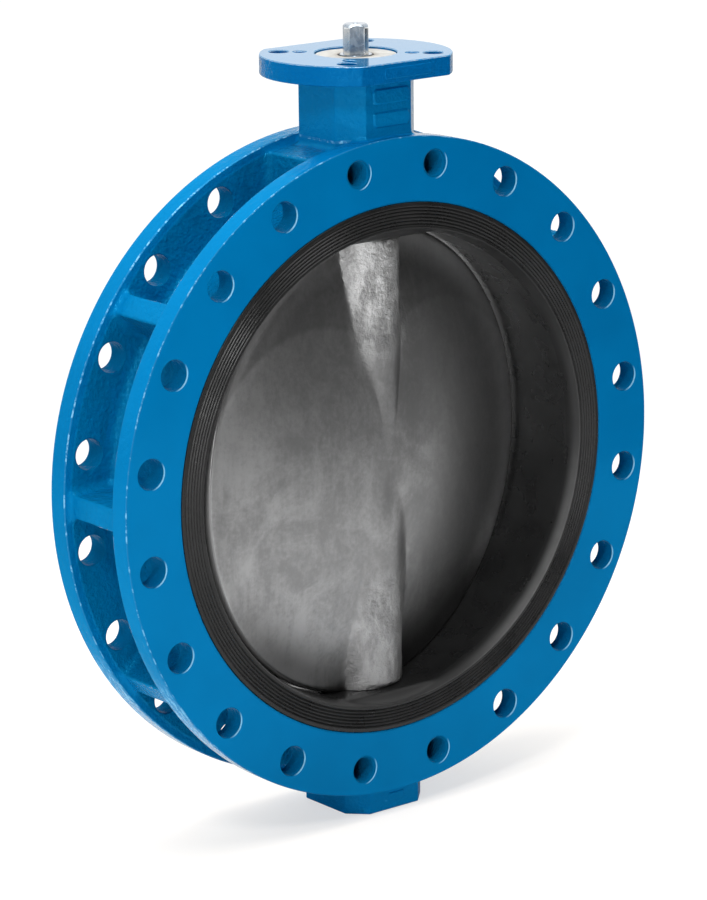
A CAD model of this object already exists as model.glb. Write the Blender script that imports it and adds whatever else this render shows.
"""A flanged butterfly valve, partly open, on a white studio floor.

The pipe axis runs along Y and the stem axis along Z, with the actuator flange on top and the
foot on the floor. Shapes are drawn in millimetres from the point where the two axes cross and
lifted to the height of the pipe axis. Materials work in metres in the scene's own frame.
"""

from math import asin, atan2, cos, pi, radians, sin, sqrt, tan

import bmesh
import bpy
import numpy as np
from mathutils import Matrix, Vector, noise


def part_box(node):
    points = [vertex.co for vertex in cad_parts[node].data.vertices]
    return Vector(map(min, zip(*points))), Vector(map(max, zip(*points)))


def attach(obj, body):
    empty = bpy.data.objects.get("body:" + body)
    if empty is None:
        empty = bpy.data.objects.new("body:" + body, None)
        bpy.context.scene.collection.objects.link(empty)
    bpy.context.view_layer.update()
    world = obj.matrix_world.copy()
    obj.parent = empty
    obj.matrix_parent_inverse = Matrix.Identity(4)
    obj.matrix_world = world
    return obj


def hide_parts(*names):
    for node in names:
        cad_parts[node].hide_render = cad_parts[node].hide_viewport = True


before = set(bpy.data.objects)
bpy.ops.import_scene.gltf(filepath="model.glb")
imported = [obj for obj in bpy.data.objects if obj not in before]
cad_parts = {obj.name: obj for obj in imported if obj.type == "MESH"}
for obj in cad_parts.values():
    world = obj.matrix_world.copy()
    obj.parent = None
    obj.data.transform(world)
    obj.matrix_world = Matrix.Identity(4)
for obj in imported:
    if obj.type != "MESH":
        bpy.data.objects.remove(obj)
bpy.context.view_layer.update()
scene = bpy.context.scene

# ---------------------------------------------------------------- driving dimensions, in mm
MM = 0.001
liner_low, liner_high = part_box("seat_liner")
AXIS_HEIGHT = (liner_low.z + liner_high.z) / 2     # metres, of the pipe axis
LIFT = np.array([0.0, 0.0, AXIS_HEIGHT])
OPEN = radians(11.0)                               # the disc's turn about the stem
TURN_OPEN = Matrix.Rotation(OPEN, 4, "Z")

FACE_Y = 57.0           # pipe flanges' outer faces
CHANNEL_Y = 36.0        # pipe flanges' inner faces, the sides of the channel between them
FLANGE_R = 307.2
TUBE_R = 254.0          # floor of the channel
CROWN_R = 300.0         # tops of the ribs and blocks
BOLT_COUNT = 20
BOLT_CIRCLE_R = 282.5

NECK_HALF = 46.0        # half width of the neck's and the foot's octagon
TOP_Z = 378.0           # top of the actuator flange
TOP_UNDER = TOP_Z - 18.0
TOP_FLAT = 72.1         # distance of the actuator flange's flats from the stem axis

SHAFT_R = 19.0
SHAFT_BORE_R = 19.3
BUSH_R = 23.5
HEX_HALF = 16.2         # half the stem's hexagon across its flats
SQUARE_R = 13.3         # rounded corners of the stem's square end
DISC_HUB_R = 37.5
DISC_RIM_HALF = 10.0    # half thickness of the disc at its rim
DISC_HUB_END = 213.0
SCREW_CIRCLE_R = 30.0   # cover screws


# ---------------------------------------------------------------- shapes: (points, faces)
def grid_faces(rows, columns, wrap_rows, wrap_columns):
    """Quads over a grid of points stored row by row."""
    row = np.arange(rows if wrap_rows else rows - 1)
    column = np.arange(columns if wrap_columns else columns - 1)
    here, after = row[:, None] * columns, ((row + 1) % rows)[:, None] * columns
    left, right = column[None, :], ((column + 1) % columns)[None, :]
    corners = [here + left, after + left, after + right, here + right]
    return np.stack(corners, -1).reshape(-1, 4).tolist()


def lathe(profile, sides, axis="Z"):
    """A closed (radius, height) outline turned round an axis.

    Points on the axis become one vertex each.
    """
    points, rings, total = [], [], 0
    for radius, height in profile:
        size = sides if radius > 1e-6 else 1
        angle = 2 * pi * np.arange(size) / sides
        u, v = radius * np.cos(angle), radius * np.sin(angle)
        w = np.full(size, float(height))
        order = {"Z": (u, v, w), "Y": (u, w, v), "X": (w, u, v)}[axis]
        rings.append((total, size))
        points.append(np.stack(order, -1))
        total += size
    faces = []
    for (a, size_a), (b, size_b) in zip(rings, rings[1:] + rings[:1]):
        if size_a == 1 and size_b == 1:
            continue
        for i in range(sides):
            j = (i + 1) % sides
            if size_a == 1:
                faces.append((a, b + i, b + j))
            elif size_b == 1:
                faces.append((a + i, a + j, b))
            else:
                faces.append((a + i, a + j, b + j, b + i))
    return np.concatenate(points), faces


def loft(rows):
    """A skin over rings of equal point counts, closed at both ends."""
    size = len(rows[0])
    points = np.concatenate([np.asarray(row, float) for row in rows])
    faces = grid_faces(len(rows), size, False, True)
    faces.append(list(range(size)))
    faces.append(list(range((len(rows) - 1) * size, len(rows) * size)))
    return points, faces


def moved(shape, matrix):
    matrix = np.array(matrix)
    return shape[0] @ matrix[:3, :3].T + matrix[:3, 3], shape[1]


def level(line, z):
    """A flat (x, y) line raised to z, a height or one height for each point."""
    return np.column_stack([line, np.full(len(line), z)])


def spots(radius, degrees):
    """Translations to places on a circle round the stem axis."""
    return [Matrix.Translation((radius * cos(radians(d)), radius * sin(radians(d)), 0))
            for d in degrees]


QUARTERS = (45, 135, 225, 315)


def rounded(points, steps):
    """A closed outline of (u, v, radius): every corner with a radius becomes an arc."""
    out, count = [], len(points)
    for i, (u, v, radius) in enumerate(points):
        if radius <= 0:
            out.append((u, v))
            continue
        point = Vector((u, v))
        before, after = Vector(points[i - 1][:2]), Vector(points[(i + 1) % count][:2])
        to_before, to_after = (before - point).normalized(), (after - point).normalized()
        half = to_before.angle(to_after) / 2
        reach = min(radius / tan(half), 0.49 * (before - point).length,
                    0.49 * (after - point).length)
        radius = reach * tan(half)
        centre = point + (to_before + to_after).normalized() * (radius / sin(half))
        first = point + to_before * reach - centre
        last = point + to_after * reach - centre
        start = atan2(first.y, first.x)
        turn = (atan2(last.y, last.x) - start + pi) % (2 * pi) - pi
        for k in range(steps + 1):
            angle = start + turn * k / steps
            out.append((centre.x + radius * cos(angle), centre.y + radius * sin(angle)))
    return out


def hexagon(radius):
    """Corners of a hexagon, radius from its centre."""
    return [(radius * cos(pi / 3 * i), radius * sin(pi / 3 * i)) for i in range(6)]


def smooth_step(value, low, high):
    t = np.clip((value - low) / (high - low), 0, 1)
    return t * t * (3 - 2 * t)


def blend_rise(a, b, reach):
    """What a smooth maximum of a and b adds to the plain one where they differ by less than reach."""
    near = np.maximum(reach - np.abs(a - b), 0) / reach
    return near * near * reach / 4


def fractal(points, scale, octaves, seed):
    """Smooth noise from -1 to 1; scale is the size of its largest lumps in mm."""
    shift = Vector((seed * 7.31, seed * 3.77, seed * 5.13))
    return np.array([noise.fractal(Vector(p) / scale + shift, 0.9, 2.1, octaves)
                     for p in points])


# ---------------------------------------------------------------- objects
def build(name, *shapes):
    """One object from closed shapes, faces turned out."""
    points, faces, start = [], [], 0
    for shape_points, shape_faces in shapes:
        points.append(shape_points)
        faces += [[i + start for i in face] for face in shape_faces]
        start += len(shape_points)
    mesh = bpy.data.meshes.new(name)
    mesh.from_pydata((np.concatenate(points) * MM + LIFT).tolist(), [], faces)
    bm = bmesh.new()
    bm.from_mesh(mesh)
    bmesh.ops.remove_doubles(bm, verts=bm.verts, dist=1e-7)
    bmesh.ops.recalc_face_normals(bm, faces=bm.faces)
    bm.to_mesh(mesh)
    bm.free()
    obj = bpy.data.objects.new(name, mesh)
    scene.collection.objects.link(obj)
    return obj


def combine(target, operation, name, *shapes):
    """Applies a boolean of the target with closed shapes."""
    other = build(name, *shapes)
    mod = target.modifiers.new("shape", "BOOLEAN")
    mod.operation = operation
    mod.solver = "MANIFOLD"
    mod.object = other
    graph = bpy.context.evaluated_depsgraph_get()
    graph.update()
    mesh = bpy.data.meshes.new_from_object(target.evaluated_get(graph), depsgraph=graph)
    target.modifiers.clear()
    old, target.data = target.data, mesh
    bpy.data.meshes.remove(old)
    bpy.data.objects.remove(other, do_unlink=True)


def join(target, name, *shapes):
    combine(target, "UNION", name, *shapes)


def cut(target, *shapes):
    combine(target, "DIFFERENCE", "cut", *shapes)


def swell(obj, amount):
    """Moves each vertex along its normal by amount(points in mm), an array in mm."""
    mesh = obj.data
    places = np.zeros(len(mesh.vertices) * 3, np.float32)
    mesh.vertices.foreach_get("co", places)
    places = places.reshape(-1, 3).astype(float)
    normals = np.zeros(len(mesh.vertices) * 3, np.float32)
    mesh.vertex_normals.foreach_get("vector", normals)
    shift = amount((places - LIFT) / MM) * MM
    places += normals.reshape(-1, 3) * shift[:, None]
    mesh.vertices.foreach_set("co", places.astype(np.float32).ravel())
    mesh.update()


def finish_piece(obj, node, body, surface, sharp=34.0, weighted=True):
    """Gives a piece its material, shading, body and CAD node; sharp is in degrees."""
    obj.data.materials.clear()
    obj.data.materials.append(surface)
    for face in obj.data.polygons:
        face.material_index = 0
    obj.data.shade_smooth()
    obj.data.set_sharp_from_angle(angle=radians(sharp))
    if weighted:
        mod = obj.modifiers.new("normals", "WEIGHTED_NORMAL")
        mod.keep_sharp = True
        mod.weight = 60
        mod.thresh = 0.01
    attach(obj, body)
    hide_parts(node)


def turned_piece(name, node, profile, surface, sides=96, steps=3, cutters=()):
    """A still piece turned round the stem axis from a (radius, z, corner radius) outline."""
    obj = build(name, lathe(rounded(profile, steps), sides))
    if cutters:
        cut(obj, *cutters)
    finish_piece(obj, node, "body", surface)


# ---------------------------------------------------------------- shader nodes
class Signal:
    """An output of a shader node. Arithmetic on it adds Math nodes."""

    def __init__(self, nodes, socket):
        self.nodes = nodes
        self.socket = socket

    def __add__(self, other):
        return self.nodes.math("ADD", self, other)

    def __sub__(self, other):
        return self.nodes.math("SUBTRACT", self, other)

    def __rsub__(self, other):
        return self.nodes.math("SUBTRACT", other, self)

    def __mul__(self, other):
        return self.nodes.math("MULTIPLY", self, other)

    def __pow__(self, other):
        return self.nodes.math("POWER", self, other)

    def __abs__(self):
        return self.nodes.math("ABSOLUTE", self)

    def or_more(self, other):
        """The larger of the two."""
        return self.nodes.math("MAXIMUM", self, other)

    def times_plus(self, factor, offset):
        return self.nodes.math("MULTIPLY_ADD", self, factor, offset)

    def ramp(self, start, end, low=0.0, high=1.0):
        """Eases from low, where the signal is at start, to high, where it is at end."""
        return self.nodes.map_range(self, start, end, low, high, "SMOOTHSTEP")

    def linear(self, start, end, low, high):
        """As ramp, in a straight line."""
        return self.nodes.map_range(self, start, end, low, high, "LINEAR")


def rgba(colour):
    """A colour from a signal, a grey level or red, green and blue."""
    if isinstance(colour, Signal):
        return colour
    if isinstance(colour, float):
        colour = (colour,) * 3
    return (*colour, 1.0)


def length(a, b):
    return a.nodes.math("SQRT", a * a + b * b)


def pipe_radius(x, z):
    """Distance from the pipe axis."""
    return x.nodes.math("SQRT", x * x + (z - AXIS_HEIGHT) ** 2.0)


class Nodes:
    """A node tree, built a node at a time."""

    def __init__(self, tree):
        self.tree = tree
        tree.nodes.clear()

    def add(self, kind, inputs=None, **settings):
        node = self.tree.nodes.new("ShaderNode" + kind)
        for key, value in settings.items():
            setattr(node, key, value)
        self.feed(node, inputs or {})
        return node

    def feed(self, node, inputs):
        for key, value in inputs.items():
            if isinstance(value, Signal):
                self.tree.links.new(value.socket, node.inputs[key])
            else:
                node.inputs[key].default_value = value

    def value(self, kind, inputs=None, output=0, **settings):
        """Adds a node and returns one of its outputs."""
        return Signal(self, self.add(kind, inputs, **settings).outputs[output])

    def math(self, operation, a, b=0.0, c=0.0, clamp=False):
        return self.value("Math", {0: a, 1: b, 2: c}, operation=operation, use_clamp=clamp)

    def map_range(self, value, start, end, low, high, kind):
        inputs = {"Value": value, "From Min": start, "From Max": end, "To Min": low,
                  "To Max": high}
        return self.value("MapRange", inputs, interpolation_type=kind)

    def along(self, vector, direction):
        """The vector's part along a direction."""
        return self.value("VectorMath", {0: vector, 1: direction}, "Value",
                          operation="DOT_PRODUCT")


class Surface(Nodes):
    """A material round a Principled shader. Coordinates are the piece's own, in metres."""

    def __init__(self, name):
        self.material = bpy.data.materials.new(name)
        self.material.use_nodes = True
        super().__init__(self.material.node_tree)
        self.out = self.add("OutputMaterial")
        self.principled = self.add("BsdfPrincipled")
        self.base = Signal(self, self.principled.outputs[0])
        self.show(self.base)
        self.coords = self.value("TexCoord", output="Object")

    def show(self, shader):
        self.feed(self.out, {0: shader})

    def set(self, **inputs):
        """Sets inputs of the Principled shader, with underscores for spaces."""
        self.feed(self.principled, {key.replace("_", " "): v for key, v in inputs.items()})

    def axes(self, vector=None):
        """The x, y and z of a vector, or of the place on the piece."""
        node = self.add("SeparateXYZ", {0: vector or self.coords})
        return [Signal(self, socket) for socket in node.outputs]

    def noise(self, scale, detail=2.0, rough=0.5, distortion=0.0):
        """Cloudy noise; a tuple of scales stretches it, one for each axis."""
        vector = self.coords
        if isinstance(scale, tuple):
            vector = self.value("Mapping", {"Vector": vector, "Scale": scale})
            scale = 1.0
        return self.value("TexNoise", {
            "Vector": vector, "Scale": scale, "Detail": detail, "Roughness": rough,
            "Distortion": distortion}, "Fac")

    def cells(self, scale):
        """Distance to the nearest of scattered points."""
        return self.value("TexVoronoi", {"Vector": self.coords, "Scale": scale}, "Distance")

    def geometry(self, output):
        return self.value("NewGeometry", output=output)

    def mix(self, factor, first, second):
        return self.value("Mix", {0: factor, 6: rgba(first), 7: rgba(second)}, 2,
                          data_type="RGBA")

    def coat(self, colour, *layers):
        """Lays colours over one another, each layer (mask, strength, colour)."""
        for mask, strength, tone in layers:
            colour = self.mix(mask * strength, colour, tone)
        return colour

    def relief(self, *layers):
        """Stacks bumps, each layer (height, strength, distance in metres)."""
        normal = None
        for height, strength, distance in layers:
            inputs = {"Height": height, "Strength": strength, "Distance": distance}
            if normal is not None:
                inputs["Normal"] = normal
            normal = self.value("Bump", inputs)
        return normal


# ---------------------------------------------------------------- materials
# Masks below are ramps from 0 to 1 between two places in metres.
def enamel_glints(paint, x, height, across, deep):
    """Where the paint draws thin: the flanges' rounded edges and one side of each bolt hole."""
    # distance from the nearest bolt hole's centre
    step = paint.math("FLOOR", paint.math("ARCTAN2", height, x) * (BOLT_COUNT / (2 * pi)))
    place = (step + 0.5) * (2 * pi / BOLT_COUNT)
    aside = x - paint.math("COSINE", place) * (BOLT_CIRCLE_R * MM)
    above = height - paint.math("SINE", place) * (BOLT_CIRCLE_R * MM)
    hole = length(aside, above)
    ring = hole.ramp(0.0151, 0.0146) * hole.ramp(0.0135, 0.0139) * deep.ramp(0.0558, 0.0565)
    # only towards +X and a little down
    toward = aside * 0.90 - above * 0.43
    ring = ring * toward.ramp(0.006, 0.0135, high=0.70)

    edges = deep.ramp(0.0556, 0.0563).or_more(deep.ramp(0.0376, 0.0370))
    lines = across.ramp(0.3060, 0.3066) * across.ramp(0.3090, 0.3084) * edges
    broken = paint.noise(150.0, detail=3.0, rough=0.7)
    lines = lines * broken.ramp(0.50, 0.62, low=0.04, high=0.55)
    facing = paint.along(paint.geometry("Normal"), (-0.61, -0.62, 0.49))
    bright = ring.or_more(lines * facing.ramp(0.45, 0.80))

    # flecks on the rim's lower part towards -X; corner nears 1 there
    corner = x * (-0.72 / 0.3075) + height * (-0.69 / 0.3075)
    flecks = paint.noise((90.0, 260.0, 90.0), detail=4.0, rough=0.7)
    flecks = flecks.ramp(0.50, 0.60, low=0.06, high=0.45)
    flecks = flecks * corner.ramp(0.955, 0.990) * across.ramp(0.3060, 0.3068)
    return bright.or_more(flecks)


def enamel(name, dark, light):
    """Gloss enamel sprayed over a casting.

    Machined faces are smooth, the walls of the holes thinly coated and dull.
    """
    paint = Surface(name)
    x, y, z = paint.axes()
    across = pipe_radius(x, z)
    deep = abs(y)
    # places
    face = deep.ramp(0.0562, 0.0568) * across.ramp(0.3085, 0.3075)
    rim = (across.ramp(0.3062, 0.3068) * deep.ramp(0.0350, 0.0362)
           * across.ramp(0.3092, 0.3084))
    top = z.ramp(0.7072, 0.7078)
    machined = face.or_more(top)
    cast = paint.math("SUBTRACT", 1.0, machined.or_more(rim * 0.55), clamp=True)
    wall = ((deep.ramp(0.0220, 0.0222) * across.ramp(0.2990, 0.2975))
            * (deep.ramp(0.0569, 0.0562) * across.ramp(0.2660, 0.2670)))
    wall = wall * deep.ramp(0.0358, 0.0364).or_more(abs(x).ramp(0.0600, 0.0590))
    top_edge = z.ramp(0.6885, 0.6895) * z.ramp(0.7074, 0.7066)
    pocket = deep.ramp(0.0366, 0.0360) * across.ramp(0.3010, 0.2980)
    height = z - AXIS_HEIGHT
    foot = height.ramp(-0.205, -0.285) * across.ramp(0.309, 0.300)
    # patterns
    drift = paint.noise(7.0, detail=3.0, rough=0.55)
    point = paint.geometry("Pointiness")
    worn = point.ramp(0.56, 0.66) * paint.noise(160.0).ramp(0.40, 0.62)
    dimples = paint.noise(230.0)

    colour = paint.coat(
        paint.mix(drift.ramp(0.3, 0.7), dark, light),
        (worn, 0.40, (0.05, 0.42, 0.82)),
        (point.ramp(0.47, 0.38), 0.45, (0.0, 0.055, 0.16)),     # hollows
        (wall, 0.45, (0.0, 0.060, 0.13)),
        (top_edge, 0.80, (0.0, 0.082, 0.27)),
        (top, 0.45, (0.0, 0.080, 0.16)),
        (pocket, 0.50, (0.0, 0.125, 0.26)),
        (pocket * dimples.ramp(0.58, 0.44), 0.14, (0.0, 0.060, 0.150)),
        (foot, 0.12, (0.0, 0.042, 0.105)))
    glints = enamel_glints(paint, x, height, across, deep)
    colour = paint.mix(glints, colour, (0.36, 0.76, 1.0))

    normal = paint.relief(
        (paint.noise(170.0, detail=4.0, rough=0.60) * cast, 0.70, 0.0022),    # cast skin
        (paint.noise(520.0) * cast, 0.35, 0.0005),                           # grit
        (dimples * pocket, 0.55, 0.0024),
        (paint.noise(330.0, detail=1.0, rough=0.4), 0.10, 0.00025))           # orange peel
    rough = paint.noise(38.0, detail=3.0, rough=0.6).linear(0.3, 0.75, low=0.085, high=0.17)
    rough = rough + wall * 0.35
    paint.set(Base_Color=colour, Roughness=rough, Specular_IOR_Level=0.0, Normal=normal)

    # the gloss: blue like the pigment where it is faint, white where it is strong
    shine = paint.value("Fresnel", {"IOR": 1.48, "Normal": normal})
    tint = paint.mix(shine.ramp(0.12, 0.50), (0.05, 0.60, 1.0), (0.97, 0.98, 0.96))
    shine = shine * wall.times_plus(-0.75, 1.0)
    gloss = paint.value("BsdfGlossy", {"Color": tint, "Roughness": rough, "Normal": normal})
    paint.show(paint.value("MixShader", {0: shine, 1: paint.base, 2: gloss}))
    return paint.material


def rubber(name, dark, light, roughness, specular, lips=False):
    """Moulded rubber; lips rubs the lead-in cones of the liner's bore paler."""
    skin = Surface(name)
    cloud = skin.noise(22.0, detail=4.0, rough=0.6)
    colour = skin.mix(cloud.ramp(0.3, 0.75), dark, light)
    normal = skin.relief((skin.noise(900.0), 0.10, 0.0002))
    rough = skin.noise(45.0, detail=3.0).linear(0.3, 0.7, *roughness)
    if lips:
        x, y, z = skin.axes()
        across = pipe_radius(x, z)
        cone = abs(y).ramp(0.0430, 0.0535) * across.ramp(0.2240, 0.2226)
        # nears 1 on the cone low down at either side
        toward = abs(x) * (0.83 / 0.222) + (z - AXIS_HEIGHT) * (-0.56 / 0.222)
        patchy = skin.noise(60.0, detail=3.0).ramp(0.3, 0.7, low=0.75)
        worn = toward.ramp(0.80, 1.0) * patchy
        amount = cone * worn.times_plus(0.62, toward.ramp(0.0, 0.8, high=0.26))
        colour = skin.mix(amount, colour, 0.115)
        rough = rough + cone * 0.14
    skin.set(Base_Color=colour, Roughness=rough, IOR=1.45, Specular_IOR_Level=specular,
             Normal=normal)
    return skin.material


def disc_metal():
    """Plated casting: faintly mottled and streaked on the domes, rough and brighter on the
    hubs, polished at the rim."""
    metal = Surface("disc_plated")
    height = metal.axes()[2] - AXIS_HEIGHT
    turned = metal.value("VectorRotate", {
        "Vector": metal.coords, "Axis": (0, 0, 1), "Angle": -OPEN}, rotation_type="AXIS_ANGLE")
    x, y, _ = metal.axes(turned)
    radius = length(x, height)
    across = abs(x)
    # places
    hub = across.ramp(0.048, 0.026) * abs(height).ramp(0.070, 0.150)
    rim = radius.ramp(0.2166, 0.2174)
    low = radius.ramp(0.150, 0.206) * height.ramp(-0.07, -0.17) * (1.0 - hub * 0.85)
    # on the -Y side, the dark mirror image of the seat's roof, an arch on each side of the
    # upper hub
    arch = (across * across).times_plus(-4.2, across.times_plus(0.72, 0.108))
    roof = (height - arch).ramp(-0.003, 0.004) * (1.0 - hub) * y.ramp(0.004, -0.004)
    lift = x.ramp(0.025, 0.130) * (1.0 - hub.or_more(low))
    # patterns
    streak = metal.noise((95.0, 95.0, 13.0), detail=5.0, rough=0.65)
    cloud = metal.noise(17.0, detail=5.0, rough=0.66, distortion=0.8)
    fine = metal.noise(210.0, detail=3.0, rough=0.62)
    outer = radius.ramp(0.120, 0.205)
    tone = cloud * 0.55 + fine * 0.22 + outer.times_plus(0.16, 0.14) * streak
    patch = metal.noise((75.0, 75.0, 30.0), detail=4.0, rough=0.6).ramp(0.40, 0.60)

    hub_colour = metal.mix(patch, 0.34, 0.58)
    hub_colour = metal.mix(height.ramp(0.0, -0.10, high=0.45), hub_colour, 0.24)
    colour = metal.mix(tone.ramp(0.38, 0.62), 0.225, 0.335)
    colour = metal.mix(hub, colour, hub_colour)
    colour = metal.coat(colour, (low, 0.86, 0.030), (roof, 0.36, 0.060), (lift, 0.36, 0.62))
    colour = metal.mix(rim, colour, metal.mix(x.ramp(-0.06, 0.08), 0.20, 0.85))

    rough = tone.linear(0.35, 0.65, low=0.40, high=0.33) + hub * 0.05 + rim * -0.16
    body = 1.0 - rim
    normal = metal.relief(
        (metal.noise(260.0, detail=4.0, rough=0.62) * body, 0.22, 0.0005),
        (streak * body, 0.10, 0.0008),
        (metal.noise(170.0, detail=5.0, rough=0.68) * hub, 0.85, 0.0022))
    dull_rim = rim * x.ramp(-0.06, -0.12)
    metal.set(Base_Color=colour, Metallic=dull_rim.times_plus(-0.66, 0.93), Roughness=rough,
              Normal=normal)
    return metal.material


def steel(name, dark, light, marks, roughness, bump=0.12, corner=0.0):
    """Turned or ground metal with fine tool marks.

    marks is their noise's scale on each axis. A stem's corners, at the radius corner, are
    polished brighter above the plate.
    """
    metal = Surface(name)
    marks = metal.noise(marks, detail=4.0, rough=0.65)
    cloud = metal.noise(70.0, detail=3.0, rough=0.55)
    nick = metal.cells(160.0).ramp(0.10, 0.02)
    colour = metal.coat(
        metal.mix((marks * 0.6 + cloud * 0.4).ramp(0.35, 0.65), dark, light),
        (nick, 0.35, tuple(c * 0.45 for c in dark)))
    if corner:
        x, y, z = metal.axes()
        worn = (length(x, y).ramp(corner - 0.0010, corner - 0.0002)
                * z.ramp(0.7066, 0.7069))
        colour = metal.coat(colour, (worn, 0.75, (0.86, 0.86, 0.84)))
    normal = metal.relief((marks, bump, 0.0002), (nick, -0.10, 0.0003))
    metal.set(Base_Color=colour, Metallic=1.0, Roughness=cloud.linear(0.3, 0.7, *roughness),
              Normal=normal)
    return metal.material


def nylon():
    """Off-white turned nylon, dirty in spots and towards the stem."""
    plastic = Surface("retainer_nylon_turned")
    ring_pitch = 0.0006
    x, y, _ = plastic.axes()
    radius = length(x, y)
    rings = plastic.math("SINE", radius * (2 * pi / ring_pitch))
    cloud = plastic.noise(60.0, detail=4.0, rough=0.6)
    colour = plastic.mix(cloud.ramp(0.3, 0.7), (0.36, 0.35, 0.325), (0.50, 0.49, 0.46))
    dirt = plastic.cells(210.0).ramp(0.16, 0.06) * plastic.noise(55.0).ramp(0.52, 0.62)
    near = radius.ramp(0.0225, 0.0165) * 0.45
    soiled = plastic.math("ADD", dirt * 0.7, near, clamp=True)
    colour = plastic.mix(soiled, colour, (0.20, 0.17, 0.13))
    normal = plastic.relief((plastic.noise(300.0), 0.06, 0.0003), (rings, 0.06, 0.0001))
    plastic.set(Base_Color=colour, Roughness=cloud.linear(0.3, 0.7, low=0.50, high=0.64),
                Specular_IOR_Level=0.25, Normal=normal)
    return plastic.material


def fibre():
    """Dull green-grey sheet with a matted web."""
    sheet = Surface("gasket_fibre_sheet")
    web = sheet.noise((700.0, 260.0, 700.0), detail=5.0, rough=0.7, distortion=1.2)
    colour = sheet.mix(web.ramp(0.35, 0.65), (0.06, 0.075, 0.062), (0.16, 0.18, 0.15))
    sheet.set(Base_Color=colour, Roughness=0.86, Normal=sheet.relief((web, 0.4, 0.0003)))
    return sheet.material


PAINT = enamel("enamel_blue", dark=(0.0, 0.132, 0.338), light=(0.0, 0.157, 0.394))
COVER_PAINT = enamel("enamel_blue_cover", dark=(0.0, 0.132, 0.340), light=(0.0, 0.156, 0.395))
LINER = rubber("liner_epdm", dark=(0.0078, 0.0079, 0.0080), light=(0.0135, 0.0136, 0.0138),
               roughness=(0.24, 0.34), specular=0.34, lips=True)
SEAL = rubber("seal_nbr", dark=(0.010, 0.010, 0.011), light=(0.020, 0.020, 0.021),
              roughness=(0.35, 0.5), specular=0.25)
DISC = disc_metal()
STEM = steel("stem_ground", dark=(0.23, 0.28, 0.335), light=(0.46, 0.50, 0.54),
             marks=(500.0, 500.0, 160.0), roughness=(0.18, 0.32), bump=0.16,
             corner=SQUARE_R * MM)
PIVOT = steel("pivot_ground", dark=(0.40, 0.42, 0.45), light=(0.60, 0.62, 0.65),
              marks=(40.0, 40.0, 1400.0), roughness=(0.20, 0.36))
BRONZE = steel("bush_bronze_turned", dark=(0.42, 0.25, 0.085), light=(0.62, 0.40, 0.16),
               marks=(60.0, 60.0, 1500.0), roughness=(0.28, 0.42))
SPRING = steel("spring_blued", dark=(0.045, 0.048, 0.060), light=(0.13, 0.135, 0.16),
               marks=(300.0, 300.0, 900.0), roughness=(0.28, 0.42))
SCREW = steel("screw_zinc", dark=(0.36, 0.36, 0.36), light=(0.58, 0.58, 0.56),
              marks=(500.0, 500.0, 500.0), roughness=(0.25, 0.4))
NYLON = nylon()
FIBRE = fibre()

# ---------------------------------------------------------------- body casting
FLOOR_R, TOP_R, EDGE_R = 8.0, 5.5, 2.4     # fillets at the channel's floor and at the ribs'
                                           # tops, and the ribs' rounded edges
BLOCK, RIB = (73.0, 0.012), (10.6, 0.045)  # (half thickness, draft)
# blocks above and below and the ribs between them: (degrees from +Z towards +X, half
# thickness, draft)
MEMBERS = [(0.0, *BLOCK), (54.0, *RIB), (90.0, *RIB), (126.0, *RIB),
           (180.0, *BLOCK), (234.0, *RIB), (270.0, *RIB), (306.0, *RIB)]


def channel_stations(ys):
    """Stations round the channel: angles and radii, each (station, y), and the indices of
    the stations on the members' tops."""
    depth = CHANNEL_Y - np.abs(ys)
    fillet = np.sqrt(FLOOR_R ** 2 - np.maximum(0, FLOOR_R - depth) ** 2)
    inset = FLOOR_R - fillet
    top = (CROWN_R - TUBE_R) + TOP_R - np.sqrt(
        TOP_R ** 2 - np.maximum(0, TOP_R - depth) ** 2)
    shoulder = top - EDGE_R
    angles, radii, tops = [], [], []

    def angle_at(centre, offset, height):
        return centre + np.arcsin(offset / (TUBE_R + height))

    def put(angle, height):
        angles.append(angle)
        radii.append(TUBE_R + height)

    def flank(thick, draft):
        """A member's side from its top down to the channel's floor: (offset, height)."""
        edge = thick + inset - EDGE_R
        base = thick + draft * (CROWN_R - TUBE_R - EDGE_R - FLOOR_R)
        line = [(edge + EDGE_R * sin(radians(a)), top - EDGE_R * (1 - cos(radians(a))))
                for a in (22.5, 45, 67.5, 90)]
        line += [(thick + inset + (base - thick) * k / 8,
                  shoulder + (FLOOR_R - shoulder) * k / 8) for k in range(1, 8)]
        line += [(base + FLOOR_R - fillet * sin(radians(a)),
                  FLOOR_R - fillet * cos(radians(a))) for a in (90, 75, 60, 45, 30, 15, 0)]
        return line

    for index, (degrees, thick, draft) in enumerate(MEMBERS):
        centre = radians(degrees)
        for part in np.linspace(-1, 1, 25 if thick > 30 else 7):
            tops.append(len(angles))
            put(angle_at(centre, (thick + inset - EDGE_R) * part, top), top)
        for offset, height in flank(thick, draft):
            put(angle_at(centre, offset, height), height)
        start = angles[-1]
        next_degrees, *next_section = MEMBERS[(index + 1) % len(MEMBERS)]
        next_centre = radians(next_degrees) + (2 * pi if index == len(MEMBERS) - 1 else 0)
        rising = [(angle_at(next_centre, -offset, height), height)
                  for offset, height in flank(*next_section)[::-1]]
        for k in range(1, 20):
            put(start + (rising[0][0] - start) * k / 20, inset)
        for angle, height in rising:
            put(angle, height)
    return np.array(angles), np.array(radii), tops


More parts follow.
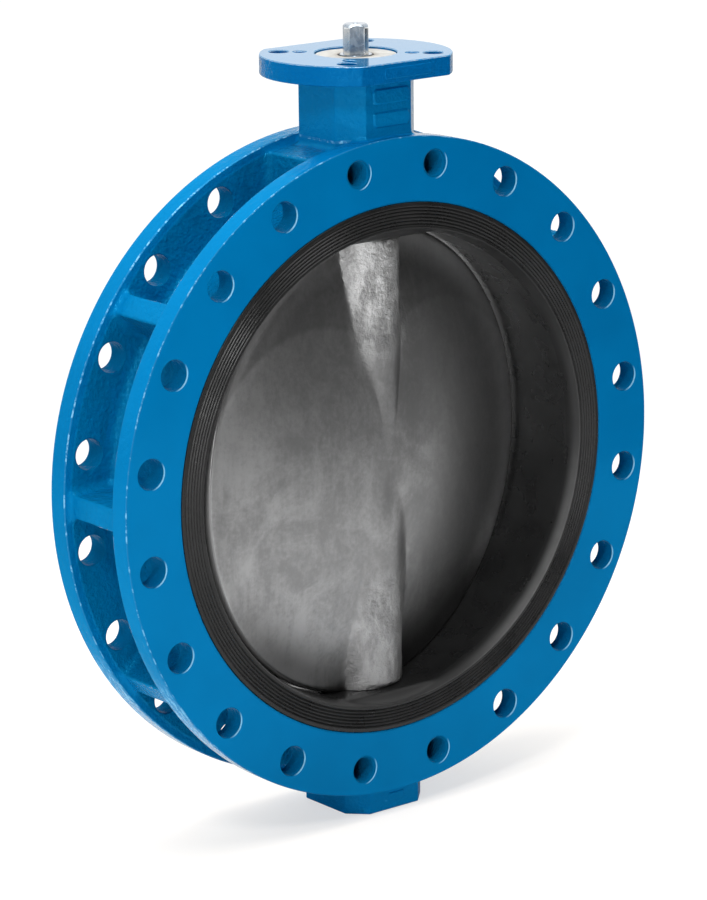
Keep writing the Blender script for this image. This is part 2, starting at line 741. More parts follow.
def flange_outline():
    """Section of the +Y half outside the channel, from its corner round the rim, over the
    face and back through the bore: (radius, y)."""
    bead = 1.5
    quarter = [radians(a) for a in (0, 30, 60, 90)]
    line = [(FLANGE_R - bead + bead * sin(a), CHANNEL_Y + bead - bead * cos(a))
            for a in quarter]
    line += [(FLANGE_R, y) for y in (42.0, 46.5, 51.0)]
    line += [(FLANGE_R - bead + bead * cos(a), FACE_Y - bead + bead * sin(a))
             for a in quarter]
    return line + [
        (300.0, FACE_Y), (282.0, FACE_Y), (264.0, FACE_Y), (248.6, FACE_Y),
        (248.0, FACE_Y - 0.6), (247.3, FACE_Y - 0.8), (247.0, FACE_Y - 2),
        (247.0, FACE_Y - 8), (232.0, FACE_Y - 8), (232.0, 0.0)]


def ring_casting():
    """Both flanges, the tube between them, its ribs and the solid blocks above and below, as
    one skin. Stations run round the pipe axis; at each one the section runs through the
    channel from -Y to +Y, then back over the +Y flange, the bore and the -Y flange."""
    half = [CHANNEL_Y - FLOOR_R * (1 - sin(radians(a))) for a in (90, 76, 62, 48, 34, 18, 0)]
    flat = CHANNEL_Y - FLOOR_R
    ys = np.array([-h for h in half] + list(np.linspace(-flat, flat, 13)[1:-1]) + half[::-1])
    angle, radius, tops = channel_stations(ys)
    count = len(angle)
    # outside the channel, stations spread evenly from one member's top to the next
    even = np.interp(np.arange(count), np.append(tops, count),
                     np.append(angle[tops, 0], angle[0, 0] + 2 * pi))
    shell = flange_outline()
    side_steps = 9

    def channel_side(column, y):
        """Columns from the channel's skin out to the flange's corner."""
        a, r = angle[:, column], radius[:, column]
        parts = [k / side_steps for k in range(1, side_steps)]
        return [(a + (even - a) * f, r + (shell[0][0] - r) * f, y) for f in parts]

    columns = [(angle[:, k], radius[:, k], y) for k, y in enumerate(ys)]
    columns += channel_side(-1, CHANNEL_Y)
    columns += [(even, r, y) for r, y in shell]
    columns += [(even, r, -y) for r, y in shell[-2::-1]]
    columns += channel_side(0, -CHANNEL_Y)[::-1]
    points = np.stack([
        np.stack([r * np.sin(a), np.full(count, float(y)), r * np.cos(a)], -1)
        for a, r, y in columns], 1)
    return points.reshape(-1, 3), grid_faces(count, len(columns), True, True)


def cast_skin(points):
    """The lumpy skin between the flanges and, fainter, on the flanges' rims."""
    radius = np.hypot(points[:, 0], points[:, 2])
    deep = np.abs(points[:, 1])
    inside = smooth_step(36.6 - deep, 0.0, 0.4) * smooth_step(305.4 - radius, 0.0, 1.0)
    inside = inside * (radius > 240)
    rim = (radius > 306.9) * smooth_step(54.5 - deep, 0, 1.5)
    lumps = 0.45 * fractal(points, 26.0, 3, 1.0)
    return inside * lumps - rim * 0.05 * (0.5 + 0.5 * fractal(points, 30.0, 2, 2.0))


def octagon(chamfer, corner, spread=0.0):
    """The neck's octagon with rounded corners, offset outwards by spread."""
    half = NECK_HALF + spread
    short = half - (chamfer + 0.586 * spread)
    corners = [(half, -short), (half, short), (short, half), (-short, half),
               (-half, short), (-half, -short), (-short, -half), (short, -half)]
    line = rounded([(u, v, corner) for u, v in corners], 4)
    dense = []
    for (u0, v0), (u1, v1) in zip(line, line[1:] + line[:1]):
        parts = 8 if sqrt((u1 - u0) ** 2 + (v1 - v0) ** 2) > 8 else 1
        dense += [(u0 + (u1 - u0) * k / parts, v0 + (v1 - v0) * k / parts)
                  for k in range(parts)]
    return np.array(dense)


def ground(line):
    """Height of the blocks' crown, and of the flanges' rims beside them, under a line."""
    x, y = line[:, 0], line[:, 1]
    inner = np.sqrt(np.maximum(CROWN_R ** 2 - x ** 2, 0))
    outer = np.sqrt(np.maximum(FLANGE_R ** 2 - x ** 2, 0))
    return inner + (outer - inner) * smooth_step(np.abs(y), 31.0, 38.5)


def pillar(chamfer, corner, foot_r, steps, head_z, head_r=0.0):
    """Rings of an octagonal pillar standing on the casting, flared out with a fillet at its
    foot and, if head_r is given, at its head."""
    wide = octagon(chamfer, corner, foot_r)
    rows = [level(wide, ground(wide) - 14.0)]
    for degrees in range(90, -1, -15):
        a = radians(degrees)
        line = octagon(chamfer, corner, foot_r * (1 - cos(a)))
        rows.append(level(line, ground(line) + foot_r * (1 - sin(a))))
    plain = octagon(chamfer, corner)
    low = ground(plain) + foot_r
    for part in np.linspace(0, 1, steps + 1)[1:]:
        rows.append(level(plain, low + (head_z - head_r - low) * part))
    if head_r:
        for degrees in range(15, 91, 15):
            a = radians(degrees)
            line = octagon(chamfer, corner, head_r * (1 - cos(a)))
            rows.append(level(line, head_z - head_r * (1 - sin(a))))
        rows.append(level(line, head_z + 5.0))
    return rows


def foot():
    """A pillar turned upside down, ending in a chamfered sole."""
    chamfer, corner = 17.0, 2.4
    rows = pillar(chamfer, corner, foot_r=6.0, steps=4, head_z=328.6)
    for spread, z in ((-0.35, 329.4), (-1.5, 329.98)):
        rows.append(level(octagon(chamfer, corner, spread), z))
    return moved(loft(rows), Matrix.Rotation(pi, 4, "Y"))


def top_flange():
    """A round plate with flats on both Y sides and beaded edges."""
    radius, bead, arc_steps = 87.4, 1.1, 72
    rows = []
    for z, side, turns in ((TOP_UNDER, 1, (0, 30, 60, 90)), (TOP_Z, -1, (90, 60, 30, 0))):
        for degrees in turns:
            inset = bead * (1 - sin(radians(degrees)))
            drop = bead * (1 - cos(radians(degrees)))
            r = radius - inset
            edge = asin((TOP_FLAT - inset) / r)
            arc = np.linspace(-edge, edge, arc_steps)
            line = [(r * cos(a), r * sin(a)) for a in arc]
            line += [(-r * cos(a), -r * sin(a)) for a in arc]
            rows.append(level(line, z + side * drop))
    return loft(rows)


def slab(width, height, thick, bead, place):
    """A rounded raised pad, drawn in the XZ plane and rising along -Y, put in place by a
    matrix."""
    corners = [(width / 2, -height / 2), (width / 2, height / 2),
               (-width / 2, height / 2), (-width / 2, -height / 2)]
    # (spread beyond the pad's outline, rise)
    levels = ((bead, -1.5), (bead, 0.0), (bead * 0.45, thick * 0.35), (0.0, thick * 0.8),
              (-0.5, thick))
    rows = []
    for grow, rise in levels:
        line = rounded([(u + (grow if u > 0 else -grow), v + (grow if v > 0 else -grow),
                         height * 0.3) for u, v in corners], 5)
        rows.append([(u, -rise, v) for u, v in line])
    return moved(loft(rows), place)


def blank_pads():
    """Two on the neck, one on each flat of the actuator flange, one on the foot."""
    at = Matrix.Translation
    on_flat = at((2, -TOP_FLAT, 369))
    return [
        slab(40, 12, 1.8, 1.2, at((3, -NECK_HALF, 344))),
        slab(40, 12, 1.8, 1.2, at((3, -NECK_HALF, 323))),
        slab(54, 9, 0.8, 0.8, on_flat),
        slab(54, 9, 0.8, 0.8, Matrix.Rotation(pi, 4, "Z") @ on_flat),
        slab(18, 6.5, 0.9, 0.9, at((2, -NECK_HALF, -317.5)))]


def thread_wave(place, pitch, angle):
    """A triangle wave from 0 to 1 that climbs one pitch a turn."""
    return np.abs(((place / pitch - angle / (2 * pi)) % 1.0) * 2 - 1)


def threaded_hole():
    """A tapped hole in the +Y face as a cutter along Y: a helical thread that runs out near
    the floor, and a countersink."""
    bottom, mouth = FACE_Y - 34, FACE_Y
    core, major, pitch, sides = 11.0, 12.4, 3.0, 48
    angle = 2 * pi * np.arange(sides) / sides
    top = mouth - 1.6
    rings = []
    for y in np.arange(bottom, top, pitch / 8):
        fade = min(1.0, max(0.0, (y - bottom) / 6.0))
        wave = np.clip(1.25 * thread_wave(y, pitch, angle) - 0.1, 0, 1)
        rings.append((core + (major - core) * fade * wave, y))
    rings += [(major + 0.1, top + 0.8), (major + 0.7, mouth - 0.35),
              (major + 1.4, mouth + 0.25), (major + 1.5, mouth + 5)]
    return loft([np.column_stack([r * np.cos(angle), np.full(sides, y), r * np.sin(angle)])
                 for r, y in rings])


def plain_hole(low, high, r, lead, sides=48, axis="Y"):
    """A through hole as a cutter between two faces, with a small lead-in at both."""
    wide = r + lead + 0.3
    return lathe([
        (0, low - 4), (wide, low - 4), (wide, low - 0.02),
        (r + lead * 0.4, low + lead * 0.45), (r, low + lead * 1.1),
        (r, high - lead * 1.1), (r + lead * 0.4, high - lead * 0.45),
        (wide, high + 0.02), (wide, high + 4), (0, high + 4)], sides, axis)


def stem_bores():
    """Cutters along the stem axis: (radius, z, corner radius) above, (radius, z) below."""
    above = [(0, 200, 0), (23.8, 200, 0), (23.8, 345.3, 0.4), (27, 345.3, 0), (27, 371, 0.5),
             (37.5, 371, 0), (37.5, 377.4, 0), (38.3, 378.2, 0), (38.3, 386, 0), (0, 386, 0)]
    below = [(0, -200), (0, -338), (38, -338), (38, -330.3), (37, -329.3), (37, -316),
             (23.8, -316), (23.8, -200)]
    return [lathe(rounded(above, 3), 96), lathe(below, 96)]


def bolt_holes():
    """Through holes round both flanges; beside the stem axis they are tapped instead."""
    pitch = 360 / BOLT_COUNT
    tapped = (0, 9, 10, 19)
    cutters = []
    for k in range(BOLT_COUNT):
        swing = Matrix.Rotation(radians(pitch / 2 + pitch * k), 4, "Y")
        swing = swing @ Matrix.Translation((0, 0, BOLT_CIRCLE_R))
        if k in tapped:
            cutters.append(moved(threaded_hole(), swing))
            cutters.append(moved(threaded_hole(), swing @ Matrix.Rotation(pi, 4, "Z")))
        else:
            cutters.append(moved(plain_hole(CHANNEL_Y, FACE_Y, 14.0, 0.7), swing))
            cutters.append(moved(plain_hole(-FACE_Y, -CHANNEL_Y, 14.0, 0.7), swing))
    return cutters


def actuator_and_screw_holes():
    """Through and blind holes in the actuator flange, and the cover screws' holes."""
    through = plain_hole(TOP_UNDER, TOP_Z, 9.0, 0.8, 40, "Z")
    r, floor_z = 6.0, TOP_Z - 15
    blind = lathe([
        (0, floor_z - 2), (r - 0.4, floor_z), (r - 0.4, TOP_Z - 1.2), (r + 0.2, TOP_Z - 0.6),
        (r + 0.9, TOP_Z + 0.1), (r + 0.9, TOP_Z + 4), (0, TOP_Z + 4)], 40)
    screw = lathe([(0, -320), (2.8, -320), (2.8, -301), (0, -301)], 20)
    circles = ((through, 70.0), (blind, 51.0), (screw, SCREW_CIRCLE_R))
    return [moved(shape, spot) for shape, radius in circles
            for spot in spots(radius, QUARTERS)]


def make_body():
    casting = build("body_casting", ring_casting())
    swell(casting, cast_skin)
    neck = pillar(chamfer=20.0, corner=1.6, foot_r=4.5, steps=12, head_z=TOP_UNDER,
                  head_r=2.5)
    join(casting, "neck", loft(neck))
    join(casting, "flange", top_flange())
    join(casting, "foot", foot())
    join(casting, "marks", *blank_pads())
    cut(casting, *stem_bores())
    cut(casting, *bolt_holes(), *actuator_and_screw_holes())
    finish_piece(casting, "valve_body", "body", PAINT)


# ---------------------------------------------------------------- rubber liner
def liner_outline():
    """Section from mid-length along the bore, over the face and back: (radius, y)."""
    bore, face = 219.5, FACE_Y - 0.02
    # (radius beyond the bore, y): the straight bore, its lead-in cone and lip
    lead_in = [
        (0, 0.0), (0, 8.0), (0, 16.0), (0, 24.0), (0, 30.0), (0, 35.0), (0, 39.0), (0, 40.4),
        (0.03, 40.8), (0.14, 41.3), (0.38, 42.5), (0.78, 44.5), (1.18, 46.5), (1.58, 48.5),
        (1.98, 50.5), (2.38, 52.5), (2.78, 54.5), (3.05, 55.8), (3.35, 56.6), (3.9, face)]
    half = [(bore + beyond, y) for beyond, y in lead_in]
    # six grooves round the face: (part of the pitch, depth)
    groove_start, groove_pitch = 225.1, 3.05
    groove = ((0.0, 0.0), (0.16, 0.20), (0.34, 1.00), (0.5, 1.25), (0.66, 1.00), (0.84, 0.20))
    for k in range(6):
        start = groove_start + groove_pitch * k
        half += [(start + groove_pitch * part, face - depth) for part, depth in groove]
    half += [(243.5, face), (245.9, face), (246.45, FACE_Y - 0.3), (246.7, FACE_Y - 1.0),
             (246.7, FACE_Y - 7.7), (231.7, FACE_Y - 7.7), (231.7, 26.0)]
    return half + [(231.7, 0.0)] + [(r, -y) for r, y in half[:0:-1]]


def liner_shape():
    sides, pad_z, softness = 300, 213.5, 1.2
    outline = np.array(liner_outline())
    angle = 2 * pi * (np.arange(sides) + 0.5) / sides
    r = np.tile(outline[:, 0], (sides, 1))
    y = np.tile(outline[:, 1], (sides, 1))
    # flat pads above and below: planes at pad_z, sloping away near the faces
    pad = pad_z + 9.0 * np.clip((np.abs(y) - 46.0) / 8.0, 0, 2)
    limit = pad / np.maximum(np.abs(np.cos(angle))[:, None], 0.2)
    blended = np.minimum(r, limit) - blend_rise(r, limit, softness)
    r = np.where(r < 223.0, np.where(limit < r - softness, limit, blended), r)
    points = np.stack([r * np.sin(angle)[:, None], y, r * np.cos(angle)[:, None]], -1)
    return points.reshape(-1, 3), grid_faces(sides, len(outline), True, True)


def make_liner():
    liner = build("liner_moulding", liner_shape())
    # shaft holes, with a narrow throat: (radius, distance from the pipe axis)
    hole = [(0, 200), (18.9, 200), (20.6, 213.0), (19.7, 214.6), (19.5, 216), (19.5, 240),
            (0, 240)]
    cut(liner, *[lathe([(r, side * z) for r, z in hole], 72) for side in (1, -1)])
    finish_piece(liner, "seat_liner", "body", LINER, 48.0)


# ---------------------------------------------------------------- disc
def disc_height(x, z):
    """Half thickness of the disc: a dome that falls to a flat rim, and two cylindrical hubs
    blended into it."""
    r = np.hypot(x, z)
    dome = DISC_HUB_R - 27.5 * (r / 195.0) ** 2
    eased = np.maximum(dome, DISC_RIM_HALF) + blend_rise(dome, DISC_RIM_HALF, 3.0)
    dome = np.where(r > 170, eased, dome)
    # the hubs' ends are rounded
    round_r = 2.8
    tip = np.maximum(np.abs(z) - (DISC_HUB_END - round_r), 0)
    tip = np.sqrt(np.maximum(round_r ** 2 - np.minimum(tip, round_r) ** 2, 0))
    hub_r = DISC_HUB_R - (round_r - tip)
    hub = np.sqrt(np.maximum(hub_r ** 2 - x ** 2, 0.0)) * (np.abs(x) < hub_r)
    # reach of the blend: wider away from the centre and below, tighter on the +x side
    middle = smooth_step(r, 60.0, 150.0)
    reach = 0.6 + 16.0 * middle
    reach = reach + 9.0 * smooth_step(-z, 5.0, 65.0) * (1 - middle)
    reach = reach * (1 - 0.55 * smooth_step(r, 196.0, 212.0) * smooth_step(z, 20.0, 130.0))
    reach = reach + 9.0 * smooth_step(-z, 130.0, 205.0)
    near = 0.22 + 0.45 * smooth_step(-z, 0.0, 50.0)
    reach = reach * (near + (1 - near) * smooth_step(-x, -6.0, 6.0))
    out = np.maximum(dome, hub) + blend_rise(dome, hub, reach)
    # cast skin, roughest on the hubs
    flat = np.stack([x, z, 0 * x], -1)
    lumps = fractal(flat, 17.0, 4, 3.0)
    broad = fractal(flat, 70.0, 2, 4.0)
    skin = 0.12 * smooth_step(208.0 - r, 0, 12)
    rough = smooth_step(np.abs(x), 44.0, 30.0) * smooth_step(np.abs(z), 80.0, 150.0)
    rough = 0.80 * rough * smooth_step(211.0 - np.abs(z), 0, 6)
    return out + lumps * (skin + rough) + broad * 0.25 * (1 - smooth_step(r, 150.0, 200.0))


def disc_shape():
    sides, edge_r = 520, 218.95
    radii = [*np.linspace(3.0, 60.0, 16), *np.linspace(63.0, DISC_HUB_END, 64)]
    angle = 2 * pi * (np.arange(sides) + 0.5) / sides

    def dome(side):
        """Rings of one face from the middle outwards, on the -Y or +Y side."""
        rings = []
        for r in radii:
            x, z = r * np.sin(angle), r * np.cos(angle)
            rings.append(np.stack([x, side * disc_height(-side * x, z), z], -1))
        return rings

    # round the edge from -Y to +Y: (radius, distance towards -Y)
    edge = [(215.4, 9.9), (216.9, 9.45), (217.9, 8.7), (218.55, 7.7)]
    edge += [(sqrt(edge_r ** 2 - y * y), y) for y in (6.4, 5.0, 3.4, 1.7, 0.0)]
    edge += [(r, -y) for r, y in edge[-2::-1]]
    rows = dome(-1)
    last = np.abs(rows[-1][:, 1])
    for r, y in edge:
        # beside the hubs the rim keeps the hub's height until the sealing edge
        extra = np.maximum(last - DISC_RIM_HALF, 0) * smooth_step(abs(y), 6.4, 9.75)
        rows.append(np.stack([r * np.sin(angle), -(y + np.sign(y) * extra),
                              r * np.cos(angle)], -1))
    rows += dome(1)[::-1]
    faces = grid_faces(len(rows), sides, False, True)
    # the middles of both faces close with a fan
    centre = disc_height(np.array([0.0]), np.array([0.0]))[0]
    points = np.concatenate([*rows, [[0, -centre, 0], [0, centre, 0]]])
    first_centre, last_centre = len(points) - 2, len(points) - 1
    tail = (len(rows) - 1) * sides
    for i in range(sides):
        j = (i + 1) % sides
        faces.append((first_centre, j, i))
        faces.append((last_centre, tail + i, tail + j))
    return points, faces


def make_disc():
    disc = build("disc_casting", disc_shape())
    # the hubs end in flats
    square = [(-95, -95), (95, -95), (95, 95), (-95, 95)]
    cut(disc, *[loft([level(square, z) for z in heights])
                for heights in ((DISC_HUB_END, 232.0), (-232.0, -DISC_HUB_END))])
    # shaft bores, and a hexagonal socket under the upper one
    bore = SHAFT_BORE_R
    cut(disc,
        lathe([(0, 165), (bore, 165), (bore, 212.2), (20.2, 213.1), (20.2, 220), (0, 220)],
              72),
        lathe([(0, -117.7), (0, -220), (20.2, -220), (20.2, -213.1), (bore, -212.2),
               (bore, -117.7)], 72))
    socket = hexagon((HEX_HALF + 0.3) / cos(pi / 6))
    cut(disc, loft([level(socket, z) for z in (117.7, 166.0)]))
    disc.data.transform(TURN_OPEN)
    finish_piece(disc, "disc", "rotor", DISC, 42.0)


# ---------------------------------------------------------------- shafts
def square_ring(radius, z):
    """A circle clipped to the stem's square."""
    half, sides = 11.0, 96
    angle = 2 * pi * np.arange(sides) / sides
    line = np.stack([radius * np.cos(angle), radius * np.sin(angle)], -1)
    return level(np.clip(line, -half, half), z)


def make_stem():
    # (radius, z, corner radius), with a groove for the snap ring
    profile = [
        (0, 165.5, 0), (SHAFT_R, 165.5, 0.8), (SHAFT_R, 348.0, 0.3), (16.9, 348.0, 0.3),
        (16.9, 350.4, 0.3), (SHAFT_R, 350.4, 0.3), (SHAFT_R, 353.0, 0.5), (14.8, 353.0, 0.6),
        (14.8, 376.6, 0.5), (0, 376.6, 0)]
    stem = build("upper_stem", lathe(rounded(profile, 4), 96))
    rows = []
    for z, grow in ((118.0, -1.2), (119.2, 0.0), (170.0, 0.0)):
        corners = hexagon((HEX_HALF + grow) / cos(pi / 6))
        rows.append(level(rounded([(u, v, 1.2) for u, v in corners], 4), z))
    join(stem, "hex", loft(rows))
    # a turned cone cuts the square's corners first, so that the flats end in arches
    rows = [square_ring(SQUARE_R, 371.0)]
    rows += [square_ring(SQUARE_R - 3.1 * t - 0.5 * t * t, 400.6 + 3.4 * t)
             for t in np.linspace(0, 1, 14)]
    join(stem, "square", moved(loft(rows), Matrix.Rotation(radians(45), 4, "Z")))
    # centre-drill mark in the stem's end
    cut(stem, lathe([(0, 401.5), (1.4, 402.9), (2.6, 404.1), (2.6, 406), (0, 406)], 32))
    stem.data.transform(TURN_OPEN)
    finish_piece(stem, "drive_shaft", "rotor", STEM, 30.0)


def make_pivot():
    profile = [(0, -304, 0), (SHAFT_R, -304, 1.5), (SHAFT_R, -118, 1.5), (0, -118, 0)]
    pivot = build("lower_stem", lathe(rounded(profile, 4), 96))
    # centre-drill mark in its upper end
    cut(pivot, lathe([(0, -117), (2.6, -117), (2.6, -118.1), (1.2, -119.6), (0, -121)], 32))
    finish_piece(pivot, "pivot_shaft", "rotor", PIVOT, 30.0)


# ---------------------------------------------------------------- bushes, seals, washers
UPPER_SEAL_Z = (310, 330)
LOWER_SEAL_Z = -288


def make_bush(name, node, low, high, grooves=()):
    """A bush with seal grooves at the given heights, or else three shallow oil grooves along
    its bore."""
    bore, floor_r = SHAFT_BORE_R, 21.8
    profile = [(bore, low, 0.8), (BUSH_R, low, 0.8), (BUSH_R, high, 0.8), (bore, high, 0.8)]
    for z in sorted(grooves, reverse=True):
        profile += [(bore, z + 2.3, 0.2), (floor_r, z + 2.3, 0.3), (floor_r, z - 2.3, 0.3),
                    (bore, z - 2.3, 0.2)]
    cutters = ()
    if not grooves:
        rod = lathe([(0, low + 3), (0.9, low + 4), (0.9, high - 4), (0, high - 3)], 16)
        cutters = [moved(rod, spot) for spot in spots(19.5, (30, 150, 270))]
    turned_piece(name, node, profile, BRONZE, cutters=cutters)


def make_o_ring(name, node, z):
    """An O-ring pressed to an oval section."""
    line = [(20.4 + 1.08 * cos(2 * pi * i / 16), z + 1.95 * sin(2 * pi * i / 16))
            for i in range(16)]
    obj = build(name, lathe(line, 120))
    finish_piece(obj, node, "body", SEAL, 60.0, False)


def make_thrust_washer(name, node, z):
    """A flat washer with four radial oil grooves on top."""
    outer, top = 26.7, z + 2.1
    rod = lathe([(0, -4), (0.7, -3.6), (0.7, 3.6), (0, 4)], 16, "X")
    out = Matrix.Translation((23.0, 0, z + 2.25))
    cutters = [moved(rod, Matrix.Rotation(radians(d), 4, "Z") @ out) for d in QUARTERS]
    profile = [(SHAFT_BORE_R, z, 0.3), (outer, z, 0.3), (outer, top, 0.3),
               (SHAFT_BORE_R, top, 0.3)]
    turned_piece(name, node, profile, BRONZE, cutters=cutters)


def make_snap_ring():
    """An open spring ring with a rounded section, thicker opposite its mouth, and two plier
    holes beside the mouth, which opens towards the disc's +Y."""
    mouth, steps = 90, 120
    inner_r, low, high, corner = 17.2, 348.2, 350.2, 0.35
    rows = []
    for i in range(steps + 1):
        angle = radians(mouth + 18 + 324 * i / steps)
        thinner = 1.6 * (0.5 + 0.5 * cos(angle - radians(mouth)))
        # the tips keep the full width for the plier holes
        outer = BUSH_R - (thinner if 4 < i < steps - 4 else 0)
        line = rounded([(inner_r, low, corner), (outer, low, corner), (outer, high, corner),
                        (inner_r, high, corner)], 3)
        rows.append([(r * cos(angle), r * sin(angle), z) for r, z in line])
    ring = build("spring_ring", loft(rows))
    eye = lathe([(0, 346), (1.2, 346), (1.2, 352), (0, 352)], 24)
    cut(ring, *[moved(eye, spot) for spot in spots(20.6, (mouth + 25, mouth - 25))])
    ring.data.transform(TURN_OPEN)
    finish_piece(ring, "stem_snap_ring", "rotor", SPRING)


def make_retainer():
    profile = [
        (15.6, 353.1, 0.4), (26.7, 353.1, 0.8), (26.7, 371.3, 0.4), (37.2, 371.3, 0.4),
        (37.2, 376, 0.7), (16.5, 376, 0.35), (16.5, 371, 0.2), (15.6, 371, 0.3)]
    turned_piece("retainer_disc", "retainer_plate", profile, NYLON,
                 sides=128, steps=4)


def make_wiper():
    profile = [
        (15.1, 371.3, 0.2), (16.3, 371.3, 0.2), (16.3, 374.6, 0.3), (15.9, 375.0, 0.3),
        (15.5, 375.9, 0.2), (15.1, 375.5, 0.2)]
    turned_piece("wiper_ring", "wiper_seal", profile, SEAL, sides=128)


def make_thrust_pad():
    profile = [(0, -309.3, 0), (18.5, -309.3, 0.8), (18.5, -304.3, 0.8), (0, -304.3, 0)]
    turned_piece("thrust_button", "thrust_pad", profile, BRONZE, steps=4)


# ---------------------------------------------------------------- bottom cover and screws
SCREW_SPOTS = spots(SCREW_CIRCLE_R, QUARTERS)
COVER_R = 36.7


def make_cover():
    profile = [
        (0, -323.1, 0), (14, -323.1, 1.0), (16, -324.3, 1.0), (COVER_R, -324.3, 1.2),
        (COVER_R, -318.6, 0.4), (23.5, -318.6, 0.5), (23.5, -309.6, 1.0), (0, -309.6, 0)]
    cover = build("foot_cover", lathe(rounded(profile, 4), 120))
    hole = lathe([(0, -328), (3.4, -328), (3.4, -324.2), (2.8, -323.6), (2.8, -313),
                  (0, -313)], 32)
    cut(cover, *[moved(hole, spot) for spot in SCREW_SPOTS])
    finish_piece(cover, "bottom_cover", "body", COVER_PAINT)


def make_gasket():
    profile = [(24.1, -318.3, 0.2), (COVER_R, -318.3, 0.2), (COVER_R, -316.3, 0.2),
               (24.1, -316.3, 0.2)]
    gasket = build("foot_gasket", lathe(rounded(profile, 2), 120))
    hole = lathe([(0, -328), (2.8, -328), (2.8, -313), (0, -313)], 32)
    cut(gasket, *[moved(hole, spot) for spot in SCREW_SPOTS])
    finish_piece(gasket, "cover_gasket", "body", FIBRE)


def screw_thread():
    """A helical thread that fades out at both ends."""
    low, high = -324.9, -302.0
    core, major, pitch, sides = 2.05, 2.5, 1.0, 24
    angle = 2 * pi * np.arange(sides) / sides
    rows = []
    for z in np.arange(low, high, pitch / 6):
        fade = max(0.0, min(1.0, z - low, high - z))
        wave = np.clip(1.2 * thread_wave(z, pitch, angle), 0, 1)
        r = core + (major - core) * wave * fade
        rows.append(np.column_stack([r * np.cos(angle), r * np.sin(angle),
                                     np.full(sides, z)]))
    return loft(rows)


def make_screw(number, spot):
    """A socket-head cap screw, head down, built on the stem axis and moved to its spot."""
    head = [(0, -329.6, 0), (4.25, -329.6, 0.5), (4.25, -324.6, 0.15), (2.1, -324.6, 0),
            (2.1, -323.0, 0), (0, -323.0, 0)]
    screw = build(f"cap_screw_{number}", lathe(rounded(head, 4), 48))
    join(screw, "thread", screw_thread())
    cut(screw, loft([level(hexagon(2.3), z) for z in (-332, -327)]))
    screw.data.transform(Matrix.Translation(Vector(spot.translation) * MM))
    finish_piece(screw, f"cover_screw_{number}", "body", SCREW, 40.0, False)


# ---------------------------------------------------------------- stage, light, camera
def staged_quad(name, corners):
    """A four-cornered sheet, in metres."""
    mesh = bpy.data.meshes.new(name)
    mesh.from_pydata(corners, [], [(0, 1, 2, 3)])
    obj = bpy.data.objects.new(name, mesh)
    scene.collection.objects.link(obj)
    return obj


def floor_white():
    """White floor that keeps a soft shadow round the foot for the camera, is plain white
    further off, and can be seen through from below."""
    pale = Surface("floor_white")
    x, y, _ = pale.axes()
    seen = pale.value("LightPath", output="Is Camera Ray")
    plain = pale.mix(pale.noise(2.0), 0.86, 0.88)
    far = length(x, y).ramp(0.80, 1.50)
    to_camera = pale.mix(far, (0.48, 0.45, 0.415), 0.0)
    pale.set(Base_Color=pale.mix(seen, plain, to_camera), Roughness=0.9,
             Specular_IOR_Level=0.1, Emission_Color=(1.0, 1.0, 1.0, 1.0),
             Emission_Strength=seen * far.times_plus(0.45, 0.587))
    clear = pale.value("BsdfTransparent")
    below = pale.geometry("Backfacing")
    pale.show(pale.value("MixShader", {0: below, 1: pale.base, 2: clear}))
    return pale.material


def make_floor():
    half, z = 60.0, -0.0002
    floor = staged_quad("studio_floor", [
        (-half, -half, z), (half, -half, z), (half, half, z), (-half, half, z)])
    floor.data.materials.append(floor_white())


def make_world():
    """White surroundings, brighter behind the valve and overhead, darker on the camera's
    side; seen directly, plain white all round."""
    world = bpy.data.worlds.new("studio")
    scene.world = world
    world.use_nodes = True
    sky = Nodes(world.node_tree)
    direction = sky.value("TexCoord", output="Generated")
    behind = sky.along(direction, (0.55, 0.83, 0.15))
    glow = behind.linear(-0.35, 0.6, low=0.10, high=1.35)
    seen = sky.value("LightPath", output="Is Camera Ray")
    strength = sky.value("Mix", {0: seen, 2: glow, 3: 1.0})
    background = sky.value("Background", {"Color": (1.0, 1.0, 1.0, 1.0),
                                          "Strength": strength})
    sky.add("OutputWorld", {0: background})


# (name, place, height aimed at on the stem axis, width, height, watts), lengths in metres
SOFTBOXES = [
    ("overhead", (-0.15, -0.3, 3.0), 0.3, 2.3, 2.3, 62),
    ("key", (-1.75, -1.45, 2.35), 0.35, 0.52, 0.52, 31),
    ("strip", (-2.35, -2.1, 0.95), 0.35, 0.30, 1.7, 20),
    ("left_fill", (-2.0, 0.5, 2.2), 0.45, 1.0, 1.2, 8)]


def make_softbox(name, place, aim_z, width, height, watts):
    light = bpy.data.lights.new(name, "AREA")
    light.shape = "RECTANGLE"
    light.size = width
    light.size_y = height
    light.energy = watts
    obj = bpy.data.objects.new(name, light)
    obj.location = place
    obj.rotation_mode = "QUATERNION"
    aim = Vector((0, 0, aim_z)) - Vector(place)
    obj.rotation_quaternion = aim.to_track_quat("-Z", "Y")
    scene.collection.objects.link(obj)


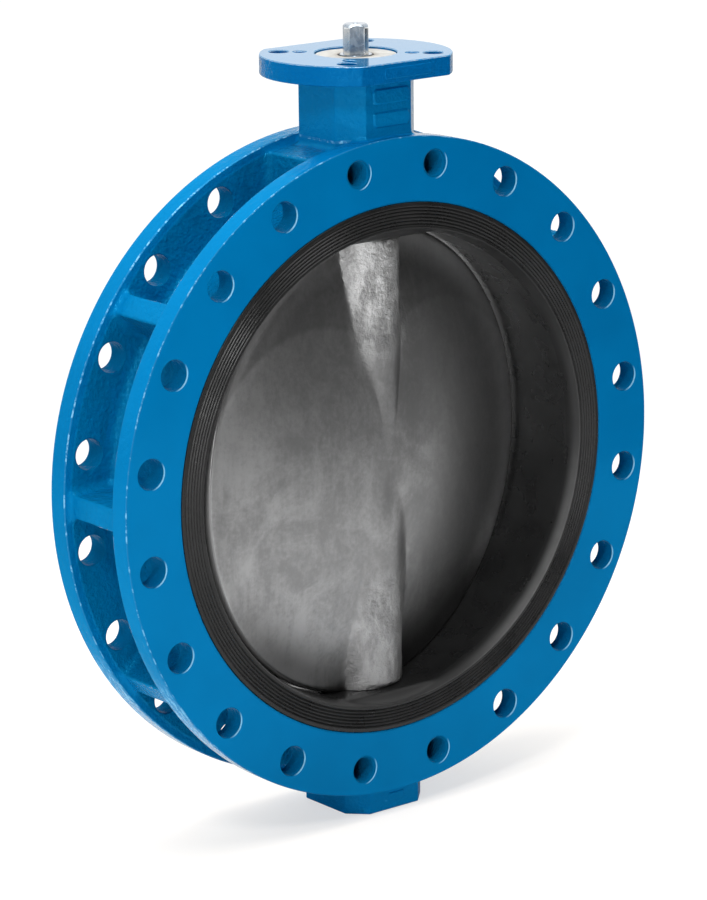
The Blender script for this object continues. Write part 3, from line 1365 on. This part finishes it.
def make_dark_card():
    """A dark card to the right of the camera's view, seen only in reflections."""
    card = staged_quad("dark_card", [
        (1.5, -0.2, 0.0), (0.6, -1.5, 0.0), (0.6, -1.5, 1.3), (1.5, -0.2, 1.3)])
    dark = Surface("card_black")
    _, y, z = dark.axes()
    shade = dark.mix(y.ramp(-1.1, -0.25), 0.014, 0.28)
    dark.set(Base_Color=dark.mix(z.ramp(0.45, 0.0), shade, 0.20), Roughness=0.9,
             Specular_IOR_Level=0.1)
    card.data.materials.append(dark.material)
    card.visible_camera = False
    card.visible_shadow = False


def make_camera():
    data = bpy.data.cameras.new("camera")
    camera = bpy.data.objects.new("camera", data)
    scene.collection.objects.link(camera)
    right = Vector((0.77710722, -0.62928341, -0.0103322))
    up = Vector((0.16523979, 0.18816011, 0.96813821))
    view = Vector((0.60728921, 0.75405448, -0.25020324))
    place = Vector((-2.17736473, -2.6942582, 1.23299382))
    columns = [(*right, 0), (*up, 0), (*-view, 0), (*place, 1)]
    camera.matrix_world = Matrix(columns).transposed()
    data.lens = 154.7905
    data.sensor_width = 36.0
    data.clip_end = 200.0
    scene.camera = camera
    scene.view_settings.view_transform = "Standard"
    scene.view_settings.look = "None"
    scene.view_settings.exposure = 0.0


# ---------------------------------------------------------------- the whole valve
make_body()
make_liner()
make_disc()
make_stem()
make_pivot()
make_bush("upper_bushing", "upper_bush", 234, 288)
make_bush("top_bushing", "top_bush", 296, 345, UPPER_SEAL_Z)
make_bush("lower_bushing", "lower_bush", -300, -236, (LOWER_SEAL_Z,))
make_o_ring("o_ring_stem_low", "stem_o_ring_1", UPPER_SEAL_Z[0])
make_o_ring("o_ring_stem_high", "stem_o_ring_2", UPPER_SEAL_Z[1])
make_o_ring("o_ring_pivot", "pivot_o_ring", LOWER_SEAL_Z)
make_thrust_washer("thrust_washer_low", "lower_thrust_washer", 345.6)
make_thrust_washer("thrust_washer_high", "upper_thrust_washer", 350.7)
make_snap_ring()
make_retainer()
make_wiper()
make_thrust_pad()
make_cover()
make_gasket()
for number, spot in enumerate(SCREW_SPOTS, 1):
    make_screw(number, spot)

make_floor()
make_world()
for softbox in SOFTBOXES:
    make_softbox(*softbox)
make_dark_card()
make_camera()
